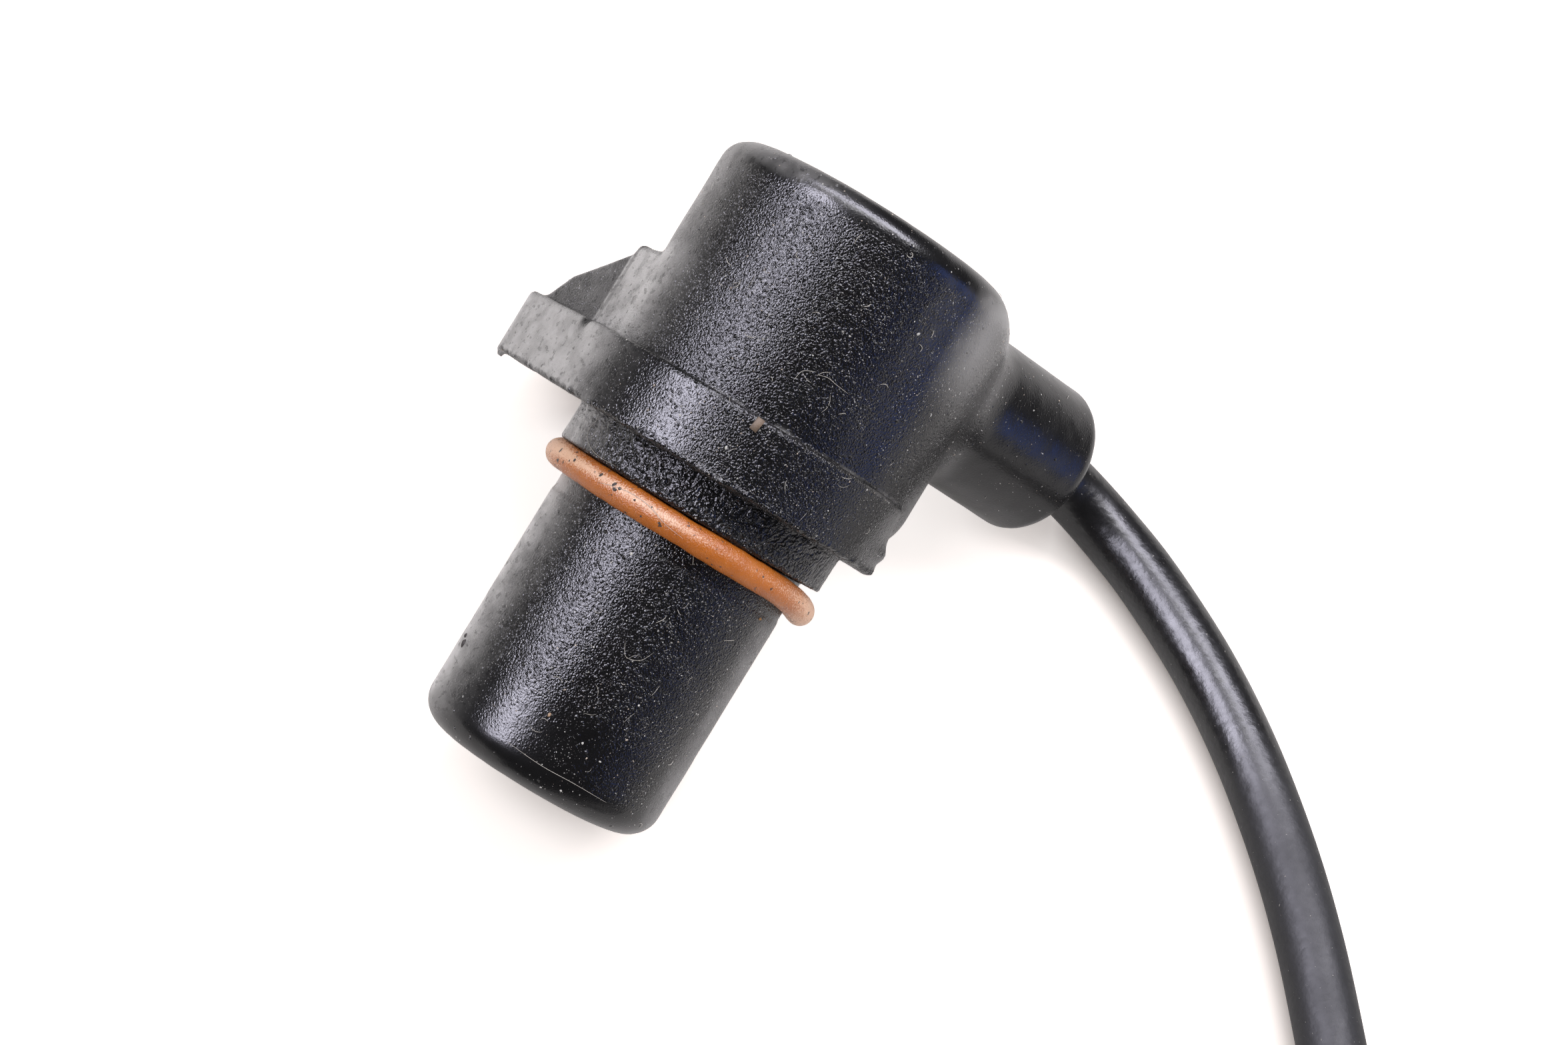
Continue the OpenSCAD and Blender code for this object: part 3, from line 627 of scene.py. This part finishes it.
cable_tail = MM * np.array([[plug_x, 47.5, 7.2], [plug_x, 39.5, 7.5], [plug_x, 31.5, 7.5],
                            [plug_x, 22.55, 7.5]])


def smooth_path(knots, spacing):
    """A curve through the knots, each stretch a cubic whose ends take their direction from the knots beside
    them, as points at even steps along it, and its length."""
    gap = np.linalg.norm(np.diff(knots, axis=0), axis=1)
    at = np.concatenate([[0], np.cumsum(gap)])
    lean = np.gradient(knots, at, axis=0)
    fine = np.linspace(0, at[-1], int(at[-1] / spacing * 4))
    k = np.clip(np.searchsorted(at, fine, side="right") - 1, 0, len(gap) - 1)
    span = gap[k][:, None]
    t = (fine - at[k])[:, None] / span
    curve = ((2 * t ** 3 - 3 * t ** 2 + 1) * knots[k] + (t ** 3 - 2 * t ** 2 + t) * span * lean[k]
             + (3 * t ** 2 - 2 * t ** 3) * knots[k + 1] + (t ** 3 - t ** 2) * span * lean[k + 1])
    run = np.concatenate([[0], np.cumsum(np.linalg.norm(np.diff(curve, axis=0), axis=1))])
    even = np.linspace(0, run[-1], int(run[-1] / spacing))
    return np.stack([np.interp(even, run, curve[:, axis]) for axis in range(3)], axis=1), run[-1]


cable_knots = np.concatenate([[outlet_in, (outlet_in + outlet_exit) / 2, outlet_exit],
                              cable_route, coil_turns, cable_tail])
cable_path, cable_length = smooth_path(cable_knots, cable_step * MM)
cable_points, cable_faces = tube(cable_path, cable_r * MM, cable_sides)
cable_jacket, start = finish("cable_jacket", Specular_IOR_Level=0.6, Sheen_Weight=0.06, Sheen_Roughness=0.4)
place = object_mm(start)
film = place.noise(3.0, 4.0)
scuffs = place.noise(0.5, 5.0)
flecks = place.noise(0.22, 2.0).rise(0.72, 0.77)
black = film.mix(rgb(0.005, 0.005, 0.0055), rgb(0.010, 0.010, 0.011))
dulled = place.spread("dulled")
roughness = 0.33 + 0.2 * (film - 0.5) + 0.14 * (scuffs - 0.5) + 0.3 * flecks + 0.24 * dulled
feed(cable_jacket, Base_Color=flecks.mix(black, rgb(0.26, 0.25, 0.24)), Roughness=roughness,
     Normal=bumped(0.6 * place.noise(1.3, 2.0) + 0.4 * scuffs, 0.09))
cable = piece("cable", cable_points, cable_faces, cable_jacket)
along_cable = np.linspace(0, cable_length / MM, len(cable_path))
carry(cable, "dulled", np.repeat(ramp(along_cable, 34.0, 47.0), cable_sides))
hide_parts("cable_run", "cable_coil", "cable_tail")
dress(moulded("tie_plastic", rgb(0.022, 0.022, 0.023), rgb(0.03, 0.03, 0.031), 0.42), "coil_tie")

# Connector at the cable's end: a black moulded shroud with three brass blades, pushed in from behind.
# A pale comb locks the blades, a red rubber plug seals the wires and a rubber boot relieves the cable.
dress(moulded("boot_rubber", rgb(0.012, 0.012, 0.013), rgb(0.02, 0.02, 0.021), 0.55), "connector_boot")
dress(moulded("wire_seal_rubber", rgb(0.20, 0.035, 0.02), rgb(0.16, 0.028, 0.018), 0.5), "wire_seal")
dress(moulded("connector_plastic", rgb(0.010, 0.010, 0.011), rgb(0.016, 0.016, 0.017), 0.4, 0.16, 0.02),
      "connector_shell")
dress(moulded("lock_plastic", rgb(0.44, 0.42, 0.36), rgb(0.38, 0.36, 0.31), 0.5), "pin_lock")
dress(brass, "contact_pin_1", "contact_pin_2", "contact_pin_3")

# Dust, grit and lint on the moulding and the ring, left as found: pale grains all over, some of which are
# painted glints, a chip of wood on the flange, a few orange and tan crumbs, dark grime on the ring, and
# thin hairs that lie on the skin.
# All of it clings to the plastic and the rubber.
golden = (1 + np.sqrt(5)) / 2
ball = unit([(-1, golden, 0), (1, golden, 0), (-1, -golden, 0), (1, -golden, 0),
             (0, -1, golden), (0, 1, golden), (0, -1, -golden), (0, 1, -golden),
             (golden, 0, -1), (golden, 0, 1), (-golden, 0, -1), (-golden, 0, 1)])
ball_faces = np.array([(0, 11, 5), (0, 5, 1), (0, 1, 7), (0, 7, 10), (0, 10, 11), (1, 5, 9), (5, 11, 4),
                       (11, 10, 2), (10, 7, 6), (7, 1, 8), (3, 9, 4), (3, 4, 2), (3, 2, 6), (3, 6, 8),
                       (3, 8, 9), (4, 9, 5), (2, 4, 11), (6, 2, 10), (8, 6, 7), (9, 8, 1)])


def grit(places, outward, spin, sizes, random):
    """Dented balls of twenty faces, each with its own half sizes along its outward direction and across it,
    and turned by its spin round that direction."""
    side = unit(np.cross(outward, (0.31, 0.22, 1.0)))
    ahead = np.cross(outward, side)
    c = np.cos(spin)[:, None]
    s = np.sin(spin)[:, None]
    axes = np.stack([outward, c * side + s * ahead, c * ahead - s * side], axis=1)
    shape = ball * random.uniform(0.7, 1.2, (len(places), len(ball), 1)) * sizes[:, None, :]
    faces = ball_faces + len(ball) * np.arange(len(places))[:, None, None]
    return (places[:, None] + shape @ axes).reshape(-1, 3), faces.reshape(-1, 3)


def on_skin(marks):
    """Places on the moulding's skin from rows of an angle round the barrel, a height and a first guess of
    the distance from the barrel's axis."""
    angle, height, out = np.asarray(marks, float).T
    angle = np.radians(angle)
    return settled(worn_field, np.stack([out * np.cos(angle), out * np.sin(angle), height], axis=1), 6)


def on_ring(marks, out):
    """Places on the seal ring, from rows of an angle round the barrel and a tilt up the ring's section, that
    far out from the section's middle, and the directions in which they lie from it."""
    angle, tilt = np.radians(marks).T
    outward = np.stack([np.cos(tilt) * np.cos(angle), np.cos(tilt) * np.sin(angle), np.sin(tilt)], axis=1)
    middle = np.stack([ring_r * np.cos(angle), ring_r * np.sin(angle), np.full(len(angle), ring_z)], axis=1)
    return middle + out * outward, outward


random = np.random.default_rng(8)
outside = housing_field(housing_points + 3.0 * housing_normals) > 2.5
# The grains gather on faces turned to the camera, where some of them are painted glints.
facing_camera = housing_normals @ np.array([-np.sin(dust_and_reflection_side + 0.3), np.cos(dust_and_reflection_side + 0.3), 0.0])
liking = outside * np.exp(1.3 * rumple(housing_points, 2.6, 12)) * (0.3 + skin_coarse)
liking = liking * (0.4 + 1.6 * ramp(facing_camera, 0.4, 0.9))
liking = liking / liking.sum()
grain_count = 4500
chosen = random.choice(len(housing_points), grain_count, replace=False, p=liking)
grain_half = np.clip(np.exp(random.normal(np.log(0.022), 0.55, grain_count)), 0.010, 0.11)[:, None]
grain_sizes = grain_half * random.uniform(0.4, 1.6, (grain_count, 3))
grain_sizes[:, 0] *= 0.6
named = on_skin([(202.0, -6.34, 9.0), (137.2, -18.76, 9.0), (155.3, -19.22, 9.0),
                 (166.1, -19.71, 9.0), (167.7, -15.25, 9.0), (73.7, -18.19, 9.0), (70.0, -17.7, 9.0)])
named_sizes = np.array([(0.13, 0.15, 0.12), (0.12, 0.13, 0.17), (0.08, 0.1, 0.1), (0.07, 0.12, 0.08),
                        (0.08, 0.08, 0.1), (0.16, 0.25, 0.3), (0.12, 0.2, 0.2)])
named_spin = np.full(len(named), -0.3)
named_red = [1.0, 0.7, 0.0, 0.0, 0.0, 0.5, 0.5]
named_light = [0.7, 0.7, 1.0, 1.0, 1.0, 0.04, 0.04]
grain_points, grain_faces = grit(np.concatenate([housing_points[chosen], named]),
                                 np.concatenate([housing_normals[chosen], slope_of(worn_field, named)]),
                                 np.concatenate([random.uniform(0, 6.28, grain_count), named_spin]),
                                 np.concatenate([grain_sizes, named_sizes]), random)
grain_red = np.concatenate([random.choice([0.0, 0.0, 0.0, 0.3], grain_count), named_red])
grain_light = np.concatenate([random.uniform(0.3, 1.0, grain_count), named_light])
dust_grain, start = finish("dust_grain", Roughness=0.7)
place = object_mm(start)
pale = start.spread("red").mix(rgb(0.62, 0.62, 0.61), rgb(0.62, 0.33, 0.12))
shade = start.spread("light") * (0.75 + 0.5 * place.noise(0.2, 2.0))
feed(dust_grain, Base_Color=shade.mix(rgb(0.012, 0.009, 0.007), pale),
     Normal=bumped(place.noise(0.08, 2.0), 0.03))
grime_at, grime_out = on_ring([(92.4, 14), (107.5, 22), (114.5, 20), (116.0, 2), (117.3, 15), (124.4, 8),
                               (131.0, 20)], ring_half + 0.01)
grime_sizes = np.array([(0.05, 0.11, 0.14), (0.05, 0.2, 0.16), (0.06, 0.16, 0.2), (0.06, 0.18, 0.12),
                        (0.05, 0.12, 0.16), (0.05, 0.09, 0.1), (0.04, 0.07, 0.07)])
grime_spin = np.arange(len(grime_at), dtype=float)
grime_points, grime_faces = grit(grime_at, grime_out, grime_spin, grime_sizes, random)
chip_at = on_skin([(146.7, 4.45, 12.5)])
chip_out = slope_of(worn_field, chip_at)[0]
chip_side = unit(np.cross(chip_out, (0.0, 0.0, 1.0)))
chip_up = np.cross(chip_side, chip_out)
chip_tilt = 0.16
chip_long = np.cos(chip_tilt) * chip_up - np.sin(chip_tilt) * chip_side
chip_wide = np.cross(chip_long, chip_out)
chip_corners = np.array([(a, b, c) for a in (-0.02, 0.16) for b in (-0.26, 0.27) for c in (-0.44, 0.48)])
chip_corners = chip_corners + random.normal(0, 0.025, chip_corners.shape)
chip_points = chip_at + chip_corners @ np.stack([chip_out, chip_wide, chip_long])
chip_faces = np.array([(0, 1, 3), (0, 3, 2), (4, 6, 7), (4, 7, 5), (0, 4, 5), (0, 5, 1),
                       (2, 3, 7), (2, 7, 6), (0, 2, 6), (0, 6, 4), (1, 5, 7), (1, 7, 3)])
grime_first = len(grain_points)
chip_first = grime_first + len(grime_points)
grains = piece("dust_grains", laid(np.concatenate([grain_points, grime_points, chip_points])),
               np.concatenate([grain_faces, grime_faces + grime_first, chip_faces + chip_first]),
               dust_grain)
carry(grains, "red", np.concatenate([np.repeat(grain_red, len(ball)), np.full(len(grime_points), 0.6),
                                     np.full(len(chip_points), 0.6)]))
carry(grains, "light", np.concatenate([np.repeat(grain_light, len(ball)), np.full(len(grime_points), 0.06),
                                       np.full(len(chip_points), 0.33)]))


def wander(starts, steps, stride, random):
    """Hairs that creep over the skin: each step goes on along the skin, and its heading drifts to one side
    or the other, so that the hair bends in a loose curve."""
    places = settled(worn_field, starts, 3)
    heading = random.normal(size=places.shape)
    bend = random.normal(0, 0.07, len(places))
    track = []
    for step in range(steps):
        outward = slope_of(worn_field, places)
        heading = unit(heading - outward * np.sum(heading * outward, axis=1)[:, None])
        heading = unit(heading + np.cross(outward, heading) * bend[:, None])
        bend = bend + random.normal(0, 0.03, len(places))
        track.append(places + outward * (0.02 + 0.05 * np.sin(np.pi * step / (steps - 1))))
        places = settled(worn_field, places + stride[:, None] * heading, 2)
    return np.stack(track, axis=1)


hair_count = 90
hair_steps = 16
hair_sides = 5
hair_spacing = 0.12
hair_starts = housing_points[random.choice(len(housing_points), hair_count, replace=False, p=liking)]
hairs = list(wander(hair_starts, hair_steps, random.uniform(0.02, 0.075, hair_count), random))
for marks in ([(88.4, -0.6, 10.4), (86.5, -1.5, 10.4), (90.5, -2.2, 10.4), (98.0, -2.6, 10.4),
               (109.8, -2.6, 10.4)],
              [(155.9, 9.29, 10.9), (159.5, 9.5, 10.9), (163.6, 9.42, 10.9), (169.3, 9.34, 10.9)],
              [(164.3, 7.37, 10.9), (165.2, 7.8, 10.9), (164.8, 8.3, 10.9), (163.6, 8.67, 10.9)],
              [(150.0, 8.2, 10.9), (151.0, 9.0, 10.9), (155.0, 9.4, 10.9)],
              [(148.0, -12.0, 9.0), (152.0, -12.9, 9.0), (158.0, -12.6, 9.0), (161.0, -11.8, 9.0)],
              [(128.0, -21.7, 9.0), (145.0, -21.85, 9.0), (162.0, -21.8, 9.0), (179.0, -21.9, 9.0)]):
    bent = smooth_path(on_skin(marks), hair_spacing)[0]
    hairs.append(settled(worn_field, bent, 2) + 0.02 * slope_of(worn_field, bent))
ring_hair = on_ring([(108, -10), (114, 8), (122, 22), (131, 15), (138, -8), (146, -20)], ring_half + 0.04)[0]
hairs.append(smooth_path(ring_hair, hair_spacing)[0])
hair_points = []
hair_faces = []
for count, track in enumerate(hairs):
    thin = 0.010 + 0.006 * (count % 3) if count < hair_count else 0.017
    taper = np.sin(np.linspace(0.05, np.pi - 0.05, len(track))) ** 0.4
    one_points, one_faces = tube(track, thin * taper, hair_sides)
    hair_faces.append(one_faces + sum(len(part) for part in hair_points))
    hair_points.append(one_points)
lint_fibre, start = finish("lint_fibre", Roughness=0.55, Sheen_Weight=0.3)
place = object_mm(start)
feed(lint_fibre, Base_Color=place.noise(3.0).mix(rgb(0.32, 0.30, 0.27), rgb(0.62, 0.60, 0.56)),
     Normal=bumped(place.noise(0.1), 0.01))
piece("lint_hairs", laid(np.concatenate(hair_points)), np.concatenate(hair_faces), lint_fibre)

# Camera: it looks square at the barrel's axis, turned so far round it that the ear points back to the left.
# In the picture the barrel leans from the lower left to the upper right.
ear_turn = np.radians(52.0)
barrel_lean = np.radians(58.6)
picture_wide = 2352
focal_px = 4380.0
camera_way = 200.0
camera_right = 5.8
to_camera = np.array([-np.sin(ear_turn), np.cos(ear_turn), 0.0]) @ sensor_axes
barrel_right = np.array([-np.cos(ear_turn), -np.sin(ear_turn), 0.0]) @ sensor_axes
picture_right = np.sin(barrel_lean) * barrel_right + np.cos(barrel_lean) * up_barrel
picture_up = -np.cos(barrel_lean) * barrel_right + np.sin(barrel_lean) * up_barrel


def stand(data, name, place, right, up, back):
    """Puts a camera or a lamp at a place, with its own right, up and back directions."""
    made = bpy.data.objects.new(name, data)
    bpy.context.scene.collection.objects.link(made)
    matrix = np.eye(4)
    matrix[:3, :3] = np.stack([right, up, back], axis=1)
    matrix[:3, 3] = place
    made.matrix_world = Matrix(matrix.tolist())
    return made


lens = bpy.data.cameras.new("camera")
lens.sensor_width = 36.0
lens.lens = focal_px * lens.sensor_width / picture_wide
lens.clip_start = 0.01
camera_place = seat + MM * (camera_way * to_camera + camera_right * barrel_right)
bpy.context.scene.camera = stand(lens, "camera", camera_place, picture_right, picture_up, to_camera)

# Table: a wide sheet of white paper under the sensor. To the camera it glows to nearly white, with a
# painted shadow where the sensor and the cable lie close over it, from ambient occlusion. Glossy rays get a
# tenth of a full glow, which keeps the black deep.
table_half = 0.9
table_paper, start = finish("table_paper")
tree = table_paper.node_tree
camera_ray = start.node("LightPath", out="Is Camera Ray")
glossy_ray = start.node("LightPath", out="Is Glossy Ray")
open_sky = start.node("AmbientOcclusion", {"samples": 6}, {"Distance": 0.006}, out="AO").rise(0.15, 0.8)
shine = 0.62 * camera_ray * open_sky + 0.1 * glossy_ray
glow = start.node("Emission", None, {"Color": shine.mix(rgb(0, 0, 0), rgb(1, 1, 1))})
way_off = start.node("VectorMath", {"operation": "LENGTH"}, {0: object_mm(start)}, out="Value")
dim = way_off.rise(80.0, 300.0).math("MAXIMUM", 0.25 * glossy_ray)
sheet = dim.mix(rgb(0.88, 0.87, 0.87), rgb(0.25, 0.25, 0.25))
paper = start.node("BsdfDiffuse", None, {"Color": camera_ray.mix(sheet, rgb(0.97, 0.87, 0.82))})
glowing_paper = start.node("AddShader", None, {0: paper, 1: glow})
tree.links.new(glowing_paper.socket, tree.nodes["Material Output"].inputs["Surface"])
table_mesh = bpy.data.meshes.new("table")
table_corners = [(x * table_half, y * table_half, 0.0) for x, y in ((-1, -1), (1, -1), (1, 1), (-1, 1))]
table_mesh.from_pydata(table_corners, [], [(0, 1, 2, 3)])
table_mesh.materials.append(table_paper)
table = bpy.data.objects.new("table", table_mesh)
bpy.context.scene.collection.objects.link(table)

# Lamps: four soft panels that face the sensor, one from the picture's left, two from over the cap and a
# faint blue one from the right. All but the top panel show in the gloss alone.
def panel(name, direction, way, wide, tall, colour, radiance):
    """A soft panel lamp that faces the sensor from a direction, as bright as that all over its face."""
    lamp = bpy.data.lights.new(name, "AREA")
    lamp.shape = "RECTANGLE"
    lamp.size = wide
    lamp.size_y = tall
    lamp.color = colour
    lamp.energy = np.pi * wide * tall * radiance
    back = unit(direction)
    right = unit(np.cross(up_barrel, back))
    made = stand(lamp, name, seat + way * back, right, np.cross(back, right), back)
    made.visible_camera = False
    return made


def aside(right_deg, up_deg):
    """A direction seen from the sensor, so many degrees right of the camera and then up the barrel."""
    right, up = np.radians([right_deg, up_deg])
    return np.cos(up) * (np.cos(right) * to_camera + np.sin(right) * barrel_right) + np.sin(up) * up_barrel


panel("left_panel", aside(-40, 6), 0.55, 0.23, 0.42, (0.87, 0.85, 1.0), 19.0).visible_diffuse = False
panel("top_panel", aside(10, 46), 0.55, 0.55, 0.16, (0.98, 0.97, 1.0), 6.5)
panel("edge_strip", aside(-6, 58), 0.5, 0.60, 0.12, (0.88, 0.86, 1.0), 16.0).visible_diffuse = False
panel("right_glow", aside(72, 13), 0.6, 0.18, 0.3, (0.2, 0.33, 1.0), 2.0).visible_diffuse = False

# Room: white to the camera, a pale warm light from all round on the sensor, and nearly dark in its gloss,
# where only the panels show.
world = bpy.data.worlds.new("room")
bpy.context.scene.world = world
world.use_nodes = True
start = Shade(world.node_tree)
camera_ray = start.node("LightPath", out="Is Camera Ray")
glossy_ray = start.node("LightPath", out="Is Glossy Ray")
room = glossy_ray.mix(rgb(0.78, 0.74, 0.72), rgb(0.02, 0.02, 0.024))
background = world.node_tree.nodes["Background"]
world.node_tree.links.new(camera_ray.mix(room, rgb(1, 1, 1)).socket, background.inputs["Color"])
bpy.context.scene.view_settings.view_transform = "Standard"
